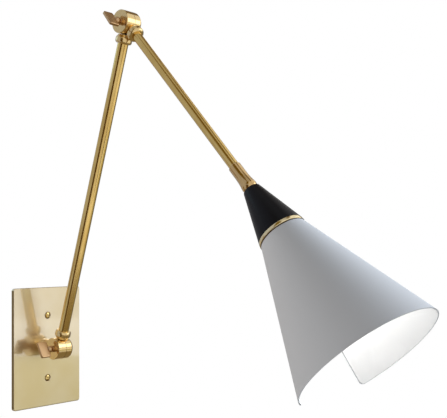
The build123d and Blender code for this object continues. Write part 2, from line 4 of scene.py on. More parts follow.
import bpy
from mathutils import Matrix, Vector


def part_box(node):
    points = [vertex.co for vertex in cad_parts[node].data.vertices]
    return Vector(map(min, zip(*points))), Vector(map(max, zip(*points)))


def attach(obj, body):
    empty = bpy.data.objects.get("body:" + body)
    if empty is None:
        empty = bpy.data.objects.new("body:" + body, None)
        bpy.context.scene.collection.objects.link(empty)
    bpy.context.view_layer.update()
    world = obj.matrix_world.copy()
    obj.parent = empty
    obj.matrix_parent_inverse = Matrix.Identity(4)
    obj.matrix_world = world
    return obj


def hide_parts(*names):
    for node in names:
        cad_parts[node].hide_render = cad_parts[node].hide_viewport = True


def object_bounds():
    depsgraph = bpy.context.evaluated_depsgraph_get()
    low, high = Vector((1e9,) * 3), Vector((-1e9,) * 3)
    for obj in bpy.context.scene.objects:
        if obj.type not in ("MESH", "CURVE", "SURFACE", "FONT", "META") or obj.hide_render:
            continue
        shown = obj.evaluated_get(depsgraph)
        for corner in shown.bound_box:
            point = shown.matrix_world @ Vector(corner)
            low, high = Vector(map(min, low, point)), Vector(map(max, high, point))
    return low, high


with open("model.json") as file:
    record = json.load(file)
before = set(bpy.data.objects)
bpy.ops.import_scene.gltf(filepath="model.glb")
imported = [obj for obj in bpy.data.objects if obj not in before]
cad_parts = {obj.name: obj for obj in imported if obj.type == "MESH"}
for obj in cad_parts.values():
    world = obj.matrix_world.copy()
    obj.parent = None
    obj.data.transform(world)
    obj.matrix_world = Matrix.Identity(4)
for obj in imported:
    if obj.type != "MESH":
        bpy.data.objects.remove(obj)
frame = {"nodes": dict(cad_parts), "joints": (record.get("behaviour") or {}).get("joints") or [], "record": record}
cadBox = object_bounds()
nodes = frame["nodes"]
joints = {joint["name"]: joint for joint in frame["joints"]}
ballCentre = Vector(joints["head_turn"]["pos_m"])
wallPivot = Vector(joints["wall_pivot"]["pos_m"])
elbowPivot = Vector(joints["elbow_pivot"]["pos_m"])
mm = 0.001
mergeWithin = 0.002 * mm  # points nearer than this are one
screwPitch = frame["record"]["mounts"][0]["dims"]["spacing_y_mm"] * mm
headDrop = radians(49.3)  # how far the shade's axis dips below level
headAxis = Vector((0, -cos(headDrop), -sin(headDrop)))
# How far the marks on the tubes and the head are turned from upright
lowerTurn = radians(17.9)
upperTurn = radians(90 + 47.3)
headTurn = radians(90) + headDrop
print("frame loaded:", len(nodes), "nodes")


class Value:  # a shader socket that takes plain arithmetic
    def __init__(self, paint, socket):
        self.paint = paint
        self.socket = socket

    def combine(self, operation, first, second):
        return self.paint.node("ShaderNodeMath", {"operation": operation}, {0: first, 1: second})

    def __add__(self, other):
        return self.combine("ADD", self, other)

    def __radd__(self, other):
        return self.combine("ADD", other, self)

    def __sub__(self, other):
        return self.combine("SUBTRACT", self, other)

    def __rsub__(self, other):
        return self.combine("SUBTRACT", other, self)

    def __mul__(self, other):
        return self.combine("MULTIPLY", self, other)

    def __rmul__(self, other):
        return self.combine("MULTIPLY", other, self)

    def __gt__(self, other):
        return self.combine("GREATER_THAN", self, other)

    def __lt__(self, other):
        return self.combine("LESS_THAN", self, other)

    def __abs__(self):
        return self.paint.node("ShaderNodeMath", {"operation": "ABSOLUTE"}, {0: self})


class Paint:  # one node tree and what is wired up in it
    def __init__(self, owner):
        owner.use_nodes = True
        self.owner = owner
        self.tree = owner.node_tree
        self.tree.nodes.clear()

    def node(self, kind, settings=None, inputs=None, output=0):
        made = self.tree.nodes.new(kind)
        for name, value in (settings or {}).items():
            setattr(made, name, value)
        for name, value in (inputs or {}).items():
            if isinstance(value, Value):
                self.tree.links.new(value.socket, made.inputs[name])
            else:
                made.inputs[name].default_value = value
        return Value(self, made.outputs[output]) if made.outputs else None

    def place(self):
        return self.node("ShaderNodeTexCoord", output="Object")

    def placeAlong(self, letter):  # X, Y or Z alone
        return self.node("ShaderNodeSeparateXYZ", inputs={0: self.place()}, output=letter)

    def mapped(self, turn=(0, 0, 0), scale=(1, 1, 1)):
        inputs = {"Vector": self.place(), "Rotation": turn, "Scale": scale}
        return self.node("ShaderNodeMapping", {"vector_type": "TEXTURE"}, inputs)

    def noise(self, where, scale=1.0):
        inputs = {"Vector": where, "Scale": scale, "Detail": 3.0, "Roughness": 0.55}
        return self.node("ShaderNodeTexNoise", inputs=inputs)

    def spread(self, value, low, high):  # a soft step from 0 to 1
        inputs = {"Value": value, "From Min": low, "From Max": high}
        return self.node("ShaderNodeMapRange", {"interpolation_type": "SMOOTHSTEP"}, inputs)

    def larger(self, first, second):
        return self.node("ShaderNodeMath", {"operation": "MAXIMUM"}, {0: first, 1: second})

    def blend(self, share, first, second):
        inputs = {"Factor": share, 6: asColour(first), 7: asColour(second)}
        return self.node("ShaderNodeMix", {"data_type": "RGBA"}, inputs, output=2)

    def bump(self, height, distance, strength):
        inputs = {"Height": height, "Distance": distance, "Strength": strength}
        return self.node("ShaderNodeBump", inputs=inputs)

    def vectorMath(self, operation, inputs, output="Vector"):
        return self.node("ShaderNodeVectorMath", {"operation": operation}, inputs, output)

    def heightAlong(self, origin, axis):
        offset = self.vectorMath("SUBTRACT", {0: self.place(), 1: origin})
        return self.vectorMath("DOT_PRODUCT", {0: offset, 1: axis}, "Value")

    def distanceFrom(self, origin, axis):
        offset = self.vectorMath("SUBTRACT", {0: self.place(), 1: origin})
        across = self.vectorMath("CROSS_PRODUCT", {0: offset, 1: axis})
        return self.vectorMath("LENGTH", {0: across}, "Value")

    def seenPlainly(self):  # 1 where the camera, a reflection or clear glass looks at it
        rays = ("Is Camera Ray", "Is Glossy Ray", "Is Transmission Ray")
        camera, glossy, clear = (self.node("ShaderNodeLightPath", output=name) for name in rays)
        return self.larger(self.larger(camera, glossy), clear)

    def glow(self, tone):
        return self.node("ShaderNodeEmission", inputs={"Color": asColour(tone), "Strength": 1.0})

    def cover(self, shader):
        self.node("ShaderNodeOutputMaterial", inputs={"Surface": shader})
        return self.owner

    def surface(self, **sockets):
        inputs = {name.replace("_", " "): value for name, value in sockets.items()}
        return self.cover(self.node("ShaderNodeBsdfPrincipled", inputs=inputs))


def asColour(value):
    return value if isinstance(value, Value) else (*value, 1.0)


def newFinish(name):
    return Paint(bpy.data.materials.new(name))


def uneven(settings, marks):  # a base value and what the marks add to it
    base, extra = settings
    return base + extra * marks


def coat(piece, material):
    piece.data.materials.clear()
    piece.data.materials.append(material)


def dress(material, *names):
    for name in names:
        coat(nodes[name], material)


# In each finish, roughness is a base and what the marks add, and bump is a depth and a strength
plateBrass = {
    "pale": (0.85, 0.74, 0.52),
    "warm": (0.80, 0.67, 0.40),
    "cloud": 18.0,
    "cloudRange": (0.35, 0.65),
    "paintedDarkEdge": (0.38, 0.32, 0.17),
    "halfSize": (38.9, 56.4),  # millimetres, past which the plate's sawn edge shows, bare of lacquer and painted darker as a painted dark reflection
    "grain": (0.0011, 1, 0.05),
    "roughness": (0.30, 0.06),
    "bump": (0.01 * mm, 0.05),
    "lacquerRoughness": 0.05,
    "lacquerIndex": 2.4,
}


def makePlateBrass():
    paint = newFinish("satinPlateBrass")
    grain = paint.noise(paint.mapped(scale=plateBrass["grain"]))
    cloud = paint.noise(paint.place(), plateBrass["cloud"])
    tone = paint.spread(cloud, *plateBrass["cloudRange"])
    halfWidth, halfHeight = plateBrass["halfSize"]
    beside = abs(paint.placeAlong("X")) > halfWidth * mm
    below = paint.placeAlong("Z") < -halfHeight * mm
    # the sawn side and bottom faces lose the lacquer and take a darker colour, a painted dark reflection
    edge = paint.larger(beside, below)
    face = paint.blend(tone, plateBrass["pale"], plateBrass["warm"])
    return paint.surface(
        Base_Color=paint.blend(edge, face, plateBrass["paintedDarkEdge"]),
        Metallic=1.0,
        Roughness=uneven(plateBrass["roughness"], grain),
        Normal=paint.bump(grain, *plateBrass["bump"]),
        Coat_Weight=1.0 - edge,
        Coat_Roughness=plateBrass["lacquerRoughness"],
        Coat_IOR=plateBrass["lacquerIndex"],
    )


tubeBrass = {"bright": (0.84, 0.61, 0.23), "deep": (0.76, 0.52, 0.17), "lacquer": 0.0}
ferruleBrass = {"bright": (0.73, 0.49, 0.20), "deep": (0.64, 0.41, 0.14), "lacquer": 0.6}
drawnMarks = {
    "stretch": (0.0008, 0.0008, 0.08),
    "cloud": 40.0,
    "toneRange": (0.4, 0.6),
    "roughness": (0.13, 0.08),
    "bump": (0.01 * mm, 0.08),
}
lacquer = {"Coat_Roughness": 0.08, "Coat_IOR": 1.9}


def makeDrawnBrass(name, turn, tones):
    paint = newFinish(name)
    drawn = paint.noise(paint.mapped((turn, 0, 0), drawnMarks["stretch"]))
    cloud = paint.noise(paint.place(), drawnMarks["cloud"])
    tone = paint.spread(0.5 * drawn + 0.5 * cloud, *drawnMarks["toneRange"])
    return paint.surface(
        Base_Color=paint.blend(tone, tones["bright"], tones["deep"]),
        Metallic=1.0,
        Roughness=uneven(drawnMarks["roughness"], cloud),
        Normal=paint.bump(drawn, *drawnMarks["bump"]),
        Coat_Weight=tones["lacquer"],
        **lacquer,
    )


knuckleBrass = {
    "bright": (0.88, 0.66, 0.29),
    "deep": (0.80, 0.55, 0.19),
    "cloud": 60.0,
    "turning": (0.0004, 1, 1),  # lathe marks round the swivels' axes
    "roughness": (0.15, 0.06),
    "bump": (0.01 * mm, 0.1),
}


def makeKnuckleBrass():
    paint = newFinish("turnedKnuckleBrass")
    turned = paint.noise(paint.mapped(scale=knuckleBrass["turning"]))
    cloud = paint.noise(paint.place(), knuckleBrass["cloud"])
    return paint.surface(
        Base_Color=paint.blend(cloud, knuckleBrass["bright"], knuckleBrass["deep"]),
        Metallic=1.0,
        Roughness=uneven(knuckleBrass["roughness"], turned),
        Normal=paint.bump(turned, *knuckleBrass["bump"]),
        Coat_Weight=1.0,
        **lacquer,
    )


shadePaint = {
    "outside": (0.475, 0.485, 0.503),
    "inside": (0.87, 0.87, 0.87),
    "start": 47.0,  # millimetres along the head's axis, where the inner skin has this radius
    "innerRadius": 17.1,
    "slope": 0.33879,
    "wall": 0.96,  # across the cone's radius
    "grit": 1400.0,
    "roughness": (0.62, 0.05),
    "bump": (0.03 * mm, 0.25),
}


def makeShadePaint():
    paint = newFinish("shadeEnamel")
    height = paint.heightAlong(ballCentre, headAxis)
    radius = paint.distanceFrom(ballCentre, headAxis)
    innerSkin = shadePaint["innerRadius"] * mm + (height - shadePaint["start"] * mm) * shadePaint["slope"]
    grit = paint.noise(paint.place(), shadePaint["grit"])
    return paint.surface(
        Base_Color=paint.blend(radius > innerSkin, shadePaint["inside"], shadePaint["outside"]),
        Roughness=uneven(shadePaint["roughness"], grit),
        Normal=paint.bump(grit, *shadePaint["bump"]),
    )


plainCloud = {"scale": 250.0, "roughness": 0.1}


def makePlain(name, tone, shade, roughness, metallic=0.0):
    paint = newFinish(name)
    cloud = paint.noise(paint.place(), plainCloud["scale"])
    return paint.surface(
        Base_Color=paint.blend(cloud, tone, shade),
        Metallic=metallic,
        Roughness=uneven((roughness, plainCloud["roughness"]), cloud),
    )


bulbGlass = {"glass": (0.95, 0.93, 0.88), "light": (1.0, 0.98, 0.955), "strength": 5.7, "roughness": 0.4}


def makeBulbGlass():
    return newFinish("litFrostedGlass").surface(
        Base_Color=asColour(bulbGlass["glass"]),
        Roughness=bulbGlass["roughness"],
        Emission_Color=asColour(bulbGlass["light"]),
        Emission_Strength=bulbGlass["strength"],
    )


darkNylon = makePlain("darkNylon", tone=(0.04, 0.035, 0.03), shade=(0.06, 0.05, 0.04), roughness=0.5)
zincSteel = makePlain("zincSteel", tone=(0.6, 0.6, 0.6), shade=(0.5, 0.51, 0.53), roughness=0.3, metallic=1.0)
blackMoulding = makePlain("blackMoulding", tone=(0.02, 0.02, 0.02), shade=(0.03, 0.03, 0.03), roughness=0.45)
swivelBrass = makeKnuckleBrass()
headBrass = makeDrawnBrass("headBrass", headTurn, tubeBrass)
dress(makePlateBrass(), "wall_plate")
dress(makeDrawnBrass("lowerTubeBrass", lowerTurn, tubeBrass), "lower_arm_tube")
dress(makeDrawnBrass("upperTubeBrass", upperTurn, tubeBrass), "upper_arm_tube")
dress(swivelBrass, "wall_swivel_base", "wall_swivel_arm", "elbow_swivel_lower", "elbow_swivel_upper")
dress(makeDrawnBrass("ferruleBrass", upperTurn, ferruleBrass), "swivel_ferrule")
dress(headBrass, "ball_stem", "lampholder_shell", "lampholder_contact")
dress(makeShadePaint(), "shade")
dress(darkNylon, "wall_friction_washer", "elbow_friction_washer", "ball_seat")
dress(zincSteel, "wall_lock_washer", "stem_nut", "bulb_base")
dress(blackMoulding, "lampholder_body", "shade_nut")
dress(makeBulbGlass(), "bulb_glass")
print("finishes made:", len(bpy.data.materials))


smoothAngle = radians(32)  # edges sharper than this stay sharp
cornerSteps = 5


def startPoint(name, point):
    bpy.ops.object.select_all(action="DESELECT")
    bpy.ops.mesh.primitive_plane_add(size=mm)
    piece = bpy.context.object
    piece.name = name
    bpy.ops.object.mode_set(mode="EDIT")
    bpy.ops.mesh.select_all(action="SELECT")
    bpy.ops.mesh.merge(type="CENTER")
    bpy.ops.transform.translate(value=point)
    return piece


def drawLine(name, points):
    piece = startPoint(name, points[0])
    for here, there in zip(points, points[1:]):
        bpy.ops.mesh.extrude_vertices_move(TRANSFORM_OT_translate={"value": there - here})
    return piece


def mergeDoubles(distance=mergeWithin):
    bpy.ops.mesh.select_all(action="SELECT")
    bpy.ops.mesh.remove_doubles(threshold=distance)
    bpy.ops.mesh.select_all(action="SELECT")


def faceOutwards():
    bpy.ops.mesh.select_all(action="SELECT")
    bpy.ops.mesh.normals_make_consistent(inside=False)


def roundCorners(corners):  # a closed outline of height, radius and rounding
    outline = []
    points = [Vector((height, radius, 0)) for height, radius, rounding in corners]
    for index, corner in enumerate(points):
        rounding = corners[index][2]
        if not rounding:
            outline.append(corner)
            continue
        before = (points[index - 1] - corner).normalized()
        after = (points[(index + 1) % len(points)] - corner).normalized()
        half = before.angle(after) / 2
        reach = rounding * cos(half) / sin(half)
        centre = corner + (before + after).normalized() * rounding / sin(half)
        first = corner + before * reach - centre
        last = corner + after * reach - centre
        for step in range(cornerSteps + 1):
            outline.append(centre + rounding * first.slerp(last, step / cornerSteps))  # slerp gives units
    return outline


def turnPiece(name, corners, origin, axis, segments):  # corners in millimetres
    across = Vector((1, 0, 0)) if abs(axis.x) < 0.5 else Vector((0, 0, 1))
    outline = [origin + mm * (point.x * axis + point.y * across) for point in roundCorners(corners)]
    piece = drawLine(name, outline + outline[:1])
    mergeDoubles()
    bpy.ops.mesh.spin(steps=segments, angle=tau, center=origin, axis=axis)
    mergeDoubles()
    bpy.ops.mesh.delete_loose(use_verts=True, use_edges=True, use_faces=False)
    faceOutwards()
    bpy.ops.object.mode_set(mode="OBJECT")
    bpy.ops.object.shade_smooth_by_angle(angle=smoothAngle)
    return piece


def pickOut(piece):
    bpy.ops.object.select_all(action="DESELECT")
    piece.select_set(True)
    bpy.context.view_layer.objects.active = piece


def placePiece(piece, place, turn=(0, 0, 0)):
    pickOut(piece)
    piece.rotation_euler = turn
    piece.location = place
    bpy.ops.object.transform_apply(location=True, rotation=True, scale=True)


def copyPiece(piece, name):
    pickOut(piece)
    bpy.ops.object.duplicate(linked=False)
    bpy.context.object.name = name
    return bpy.context.object


def joinPieces(first, second):
    pickOut(first)
    second.select_set(True)
    bpy.ops.object.join()


def useModifier(piece, kind, **settings):
    bpy.context.view_layer.objects.active = piece
    bpy.ops.object.modifier_add(type=kind)
    modifier = piece.modifiers[-1]
    for name, value in settings.items():
        setattr(modifier, name, value)
    bpy.ops.object.modifier_apply(modifier=modifier.name)


def useShape(piece, shape, operation):  # cut the shape out, add it or keep what both fill
    useModifier(piece, "BOOLEAN", operation=operation, object=shape, solver="EXACT")
    bpy.data.objects.remove(shape)


def seatPiece(piece, body, material, node=None):
    coat(piece, material)
    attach(piece, body)
    if node:
        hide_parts(node)


capEnamel = {
    "black": (0.004, 0.004, 0.006),
    "worn": (0.006, 0.006, 0.008),
    "cloud": 60.0,
    "peel": 900.0,
    "gloss": 0.14,
    "roughness": (0.30, 0.08),
    "bump": (0.03 * mm, 0.3),
}
# The sizes of the pieces from here on are in millimetres
# Cap and ring are turned a little lower on the head's axis than their solids, as the lamp shows them
capTurning = {
    "top": 3.5,
    "topRadius": 7.0,
    "topRounding": 1.0,
    "slope": 0.2782,
    "skirt": 46.6,
    "skirtRounding": (0.25, 0.2),  # outside and inside
    "wall": 1.2,
    "floor": 7.9,
    "floorRounding": 0.5,
    "bore": 3.4,
    "boreRounding": 0.1,
    "dish": 6.5,
    "dishSteps": 6,
    "segments": 96,
}


def makeCapEnamel():
    paint = newFinish("satinBlackEnamel")
    peel = paint.noise(paint.place(), capEnamel["peel"])
    cloud = paint.noise(paint.place(), capEnamel["cloud"])
    return paint.surface(
        Base_Color=paint.blend(cloud, capEnamel["black"], capEnamel["worn"]),
        Roughness=uneven(capEnamel["roughness"], cloud),
        Specular_IOR_Level=capEnamel["gloss"],
        Normal=paint.bump(peel, *capEnamel["bump"]),
    )


def makeCap():
    top, skirt, wall = capTurning["top"], capTurning["skirt"], capTurning["wall"]
    dish, bore, floor = capTurning["dish"], capTurning["bore"], capTurning["floor"]
    brim = capTurning["topRadius"] + (skirt - top) * capTurning["slope"]
    inside = capTurning["topRadius"] + (floor - top) * capTurning["slope"] - wall
    outer, inner = capTurning["skirtRounding"]
    corners = [
        (top, capTurning["topRadius"], capTurning["topRounding"]),
        (skirt, brim, outer),
        (skirt, brim - wall, inner),
        (floor, inside, capTurning["floorRounding"]),
        (floor, bore, capTurning["boreRounding"]),
    ]
    dishFoot = Vector((sqrt(dish**2 - bore**2), bore, 0))
    dishEdge = Vector((top, sqrt(dish**2 - top**2), 0))
    for step in range(capTurning["dishSteps"] + 1):
        point = dish * dishFoot.slerp(dishEdge, step / capTurning["dishSteps"])
        corners.append((point.x, point.y, 0))
    piece = turnPiece("blackCap", corners, ballCentre, headAxis, capTurning["segments"])
    seatPiece(piece, "head", makeCapEnamel(), "shade_cap")


ringBrass = {
    "bright": (0.92, 0.79, 0.50),
    "paintedShade": (0.10, 0.06, 0.025),
    "seam": 46.84,  # painted shade above this height and below the foot of the band
    "foot": 49.58,
    "turning": (1, 1, 0.0004),
    "roughness": (0.14, 0.06),
    "bump": (0.01 * mm, 0.1),
}
ringTurning = {
    "spigot": [(44.4, 15.6, 0.2), (44.4, 17.0, 0.3), (46.6, 17.5, 0)],  # height, radius and rounding
    "shoulder": [(46.6, 18.7, 0.1), (46.85, 18.75, 0), (46.85, 19.1, 0.25)],
    "band": [(49.6, 0.6, 0.5), (49.6, 0.15, 0.1)],  # these radii are counted from the shade's skin
    "step": [(50.4, 0.15, 0.1), (50.4, 0.03, 0), (47.2, 0.03, 0)],
    "seat": [(47.2, 15.6, 0)],
    "segments": 128,
}


def makeRingBrass():
    paint = newFinish("turnedRingBrass")
    height = paint.heightAlong(ballCentre, headAxis)
    # the seam under the cap and the step below the band are painted darker, painted shade
    paintedShade = (height > ringBrass["foot"] * mm) + (height < ringBrass["seam"] * mm)
    turned = paint.noise(paint.mapped((headTurn, 0, 0), ringBrass["turning"]))
    return paint.surface(
        Base_Color=paint.blend(paintedShade, ringBrass["bright"], ringBrass["paintedShade"]),
        Metallic=1.0,
        Roughness=uneven(ringBrass["roughness"], turned),
        Normal=paint.bump(turned, *ringBrass["bump"]),
    )


def shadeSkin(height):  # outer radius of the shade's cone
    inner = shadePaint["innerRadius"] + (height - shadePaint["start"]) * shadePaint["slope"]
    return inner + shadePaint["wall"]


def makeRing():
    corners = ringTurning["spigot"] + ringTurning["shoulder"]
    for height, stand, rounding in ringTurning["band"] + ringTurning["step"]:
        corners.append((height, shadeSkin(height) + stand, rounding))
    corners += ringTurning["seat"]
    piece = turnPiece("trimRing", corners, ballCentre, headAxis, ringTurning["segments"])
    seatPiece(piece, "head", makeRingBrass(), "trim_ring")


threadSteps = 20
threadOverlap = 0.02  # how far a thread and its shank run into each other


def makeThread(name, screw, origin, axis, length):
    radius, depth, pitch = screw["thread"], screw["threadDepth"], screw["pitch"]
    tooth = [(radius - depth, -pitch), (radius, -pitch / 2), (radius - depth, 0)]
    thread = drawLine(name, [mm * Vector((across, 0, up)) for across, up in tooth])
    bpy.ops.object.mode_set(mode="OBJECT")
    useModifier(
        thread,
        "SCREW",
        axis="Z",
        angle=tau,
        screw_offset=pitch * mm,
        iterations=int(length / pitch) + 3,
        steps=threadSteps,
        render_steps=threadSteps,
        use_merge_vertices=True,
        merge_threshold=mergeWithin,
    )
    bpy.ops.object.mode_set(mode="EDIT")
    mergeDoubles()
    ends = {"plane_no": (0, 0, 1), "use_fill": True, "threshold": mergeWithin / 10}
    bpy.ops.mesh.bisect(plane_co=(0, 0, 0), clear_inner=True, **ends)
    bpy.ops.mesh.select_all(action="SELECT")
    bpy.ops.mesh.bisect(plane_co=(0, 0, length * mm), clear_outer=True, **ends)
    faceOutwards()
    bpy.ops.object.mode_set(mode="OBJECT")
    placePiece(thread, origin, axis.to_track_quat("Z", "Y").to_euler())
    return thread


screwBrass = {
    "bright": (0.74, 0.56, 0.24),
    "paintedShade": (0.16, 0.10, 0.03),
    "paintedShadeFrom": 2.0,
    "cloud": 500.0,
    "roughness": (0.12, 0.08),
}
plateScrew = {
    "head": 3.1,
    "sunk": 0.4,
    "crown": 1.0,
    "crownSteps": (0, 0.25, 0.5, 0.75, 0.9),
    "rim": 0.25,
    "rimRounding": 0.1,
    "shank": 1.55,
    "shankRounding": 0.2,
    "slot": (1.0, 1.1),
    "slotTurn": radians(32),
    "thread": 1.75,
    "threadDepth": 0.33,
    "pitch": 0.8,
    "threadFrom": 3.7,
    "length": 22.0,
    "segments": 48,
}


def makeScrewBrass():
    paint = newFinish("slotScrewBrass")
    across = paint.placeAlong("X")
    upright = abs(paint.placeAlong("Z")) - screwPitch / 2
    inner, outer = screwBrass["paintedShadeFrom"] * mm, plateScrew["head"] * mm
    # the head is painted darker towards its edge: painted shade in the gap round it and a painted dark reflection
    # on the rim
    rim = paint.spread(across * across + upright * upright, inner**2, outer**2)
    cloud = paint.noise(paint.place(), screwBrass["cloud"])
    return paint.surface(
        Base_Color=paint.blend(rim, screwBrass["bright"], screwBrass["paintedShade"]),
        Metallic=1.0,
        Roughness=uneven(screwBrass["roughness"], cloud),
    )


def makePlateScrews():
    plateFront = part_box("wall_plate")[0].y
    front = Vector((0, plateFront + plateScrew["sunk"] * mm, screwPitch / 2))
    inward = Vector((0, 1, 0))
    head, crown, rim, shank = (plateScrew[name] for name in ("head", "crown", "rim", "shank"))
    threadFrom, edge = plateScrew["threadFrom"], plateScrew["rimRounding"]
    dome = (head**2 + (crown - rim) ** 2) / (2 * (crown - rim))
    corners = []
    for share in plateScrew["crownSteps"]:
        corners.append((dome - crown - sqrt(dome**2 - (share * head) ** 2), share * head, 0))
    corners += [(-rim, head, edge), (0, head, edge), (head - shank, shank, plateScrew["shankRounding"])]
    corners += [(threadFrom, shank, 0), (threadFrom, 0, 0)]
    screw = turnPiece("plateScrews", corners, front, inward, plateScrew["segments"])
    width, depth = plateScrew["slot"]
    bpy.ops.object.select_all(action="DESELECT")
    bpy.ops.mesh.primitive_cube_add(size=mm)
    cutter = bpy.context.object
    cutter.scale = (3 * head, 2 * head, width)
    placePiece(cutter, front - inward * mm * (crown - depth + head), (0, plateScrew["slotTurn"], 0))
    useShape(screw, cutter, "DIFFERENCE")
    start = threadFrom - threadOverlap
    length = plateScrew["length"] - plateScrew["sunk"] - start
    joinPieces(screw, makeThread("screwThread", plateScrew, front + inward * mm * start, inward, length))
    second = copyPiece(screw, "lowerScrew")
    placePiece(second, (0, 0, -screwPitch))
    joinPieces(screw, second)
    bpy.ops.object.shade_smooth_by_angle(angle=smoothAngle)
    seatPiece(screw, "wall_base", makeScrewBrass(), "plate_screws")


lockNut = {
    "flats": 14.0,
    "face": 6.79,  # radius of the flat ring that the chamfer leaves
    "chamfer": radians(30),
    "bore": 4.95,
    "segments": 96,
    "smoothAngle": radians(25),
}


def makeLockNut():
    low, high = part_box("wall_lock_nut")
    inward = Vector((0, 1, 0))
    height = high.y - low.y
    middle = Vector((0, (low.y + high.y) / 2, 0))
    corner = lockNut["flats"] / 2 / cos(radians(30))
    bpy.ops.object.select_all(action="DESELECT")
    bpy.ops.mesh.primitive_cylinder_add(vertices=6, radius=corner * mm, depth=height)
    nut = bpy.context.object
    nut.name = "lockNut"
    placePiece(nut, middle, inward.to_track_quat("Z", "X").to_euler())
    face, bore = lockNut["face"], lockNut["bore"]
    drop = (corner - face) * tan(lockNut["chamfer"])
    half = height / 2 / mm
    rounder = [(-half, bore, 0), (-half, face, 0), (drop - half, corner, 0)]
    rounder += [(half - drop, corner, 0), (half, face, 0), (half, bore, 0)]
    useShape(nut, turnPiece("nutRounder", rounder, middle, inward, lockNut["segments"]), "INTERSECT")
    pickOut(nut)
    bpy.ops.object.shade_smooth_by_angle(angle=lockNut["smoothAngle"])
    seatPiece(nut, "wall_base", zincSteel, "wall_lock_nut")


wingBronze = {
    "cast": (0.60, 0.39, 0.21),
    "worn": (0.70, 0.48, 0.27),
    "cloud": 120.0,
    "sand": 700.0,
    "roughness": (0.26, 0.08),
    "bump": (0.02 * mm, 0.15),
}
wingScrew = {
    "flange": (9.15, 9.75, 3.1),  # lengths along the swivel's axis are counted from its middle
    "flangeRounding": 0.15,
    "knob": 12.3,
    "knobRadius": 3.2,
    "knobArc": (-50, 80, 10),  # degrees: from, up to and step
    "neck": 2.1,
    "paddle": (13.6, 24.0),
    "halfLength": 7.8,
    "corner": 1.6,
    "thickness": 2.6,
    "edge": 0.55,
    "edgeSteps": 3,
    "sharpEdge": radians(60),
    "recess": 5.0,
    "recessDepth": 1.4,
    "recessSteps": (1.0, 0.7, 0.35, 0.0, -0.35, -0.7, -1.0),
    "recessRounding": 0.8,
    "thread": 2.45,
    "threadDepth": 0.38,
    "pitch": 0.8,
    "threadFrom": -5.9,
    "threadTo": 8.2,
    "segments": 48,
    "smoothAngle": radians(35),
    "wallTurn": radians(59),
    "elbowTurn": radians(51),
}


def makeWingBronze():
    paint = newFinish("castWingBronze")
    sand = paint.noise(paint.place(), wingBronze["sand"])
    cloud = paint.noise(paint.place(), wingBronze["cloud"])
    return paint.surface(
        Base_Color=paint.blend(cloud, wingBronze["cast"], wingBronze["worn"]),
        Metallic=1.0,
        Roughness=uneven(wingBronze["roughness"], cloud),
        Normal=paint.bump(sand, *wingBronze["bump"]),
    )


def makePaddle(outward):
    start, end = wingScrew["paddle"]
    reach, corner, recess = wingScrew["halfLength"], wingScrew["corner"], wingScrew["recess"]
    recessCentre = start + wingScrew["recessDepth"] - recess
    recessHalf = sqrt(recess**2 - (start - recessCentre) ** 2)
    corners = [(-reach, start, corner), (-reach, end, corner), (reach, end, corner), (reach, start, corner)]
    for step in wingScrew["recessSteps"]:
        across = step * recessHalf
        rounding = wingScrew["recessRounding"] if abs(step) == 1 else 0
        corners.append((across, recessCentre + sqrt(recess**2 - across**2), rounding))
    outline = [mm * (point.x * Vector((0, -1, 0)) + point.y * outward) for point in roundCorners(corners)]
    half = Vector((0, 0, wingScrew["thickness"] / 2 * mm))
    paddle = drawLine("wingPaddle", [point - half for point in outline + outline[:1]])
    mergeDoubles()
    bpy.ops.mesh.edge_face_add()
    bpy.ops.mesh.extrude_region_move(TRANSFORM_OT_translate={"value": 2 * half})
    faceOutwards()
    bpy.ops.mesh.select_mode(type="EDGE")
    bpy.ops.mesh.select_all(action="DESELECT")
    bpy.ops.mesh.edges_select_sharp(sharpness=wingScrew["sharpEdge"])
    bpy.ops.mesh.bevel(offset=wingScrew["edge"] * mm, segments=wingScrew["edgeSteps"])
    bpy.ops.mesh.select_mode(type="VERT")
    bpy.ops.object.mode_set(mode="OBJECT")
    return paddle


def makeWingScrews():
    outward = Vector((-1, 0, 0))
    centre, knob, neck = wingScrew["knob"], wingScrew["knobRadius"], wingScrew["neck"]
    foot, head, flange = wingScrew["flange"]
    threadFrom, threadTo = wingScrew["threadFrom"], wingScrew["threadTo"]
    shankEnd, edge = threadTo - threadOverlap, wingScrew["flangeRounding"]
    corners = [(shankEnd, 0, 0), (shankEnd, neck, 0), (foot, neck, 0)]
    corners += [(foot, flange, edge), (head, flange, edge)]
    for angle in range(*wingScrew["knobArc"]):
        corners.append((centre + knob * sin(radians(angle)), knob * cos(radians(angle)), 0))
    corners.append((centre + knob, 0, 0))
    wing = turnPiece("wallWing", corners, Vector(), outward, wingScrew["segments"])
    useShape(wing, makePaddle(outward), "UNION")
    thread = makeThread("wingThread", wingScrew, outward * mm * threadFrom, outward, threadTo - threadFrom)
    joinPieces(wing, thread)
    bpy.ops.object.shade_smooth_by_angle(angle=wingScrew["smoothAngle"])
    useModifier(wing, "WEIGHTED_NORMAL", keep_sharp=True)  # the paddle's flats stay flat
    elbowWing = copyPiece(wing, "elbowWing")
    placePiece(wing, wallPivot, (wingScrew["wallTurn"], 0, 0))
    placePiece(elbowWing, elbowPivot, (wingScrew["elbowTurn"], 0, 0))
    bronze = makeWingBronze()
    seatPiece(wing, "wall_wing", bronze, "wall_wing_screw")
    seatPiece(elbowWing, "elbow_wing", bronze, "elbow_wing_screw")


# Low shoulders that take the swivels' collars up to the barrels
collarShoulder = {"top": (10.35, 5.7), "foot": (12.2, 6.6), "rounding": 0.3, "segments": 64}


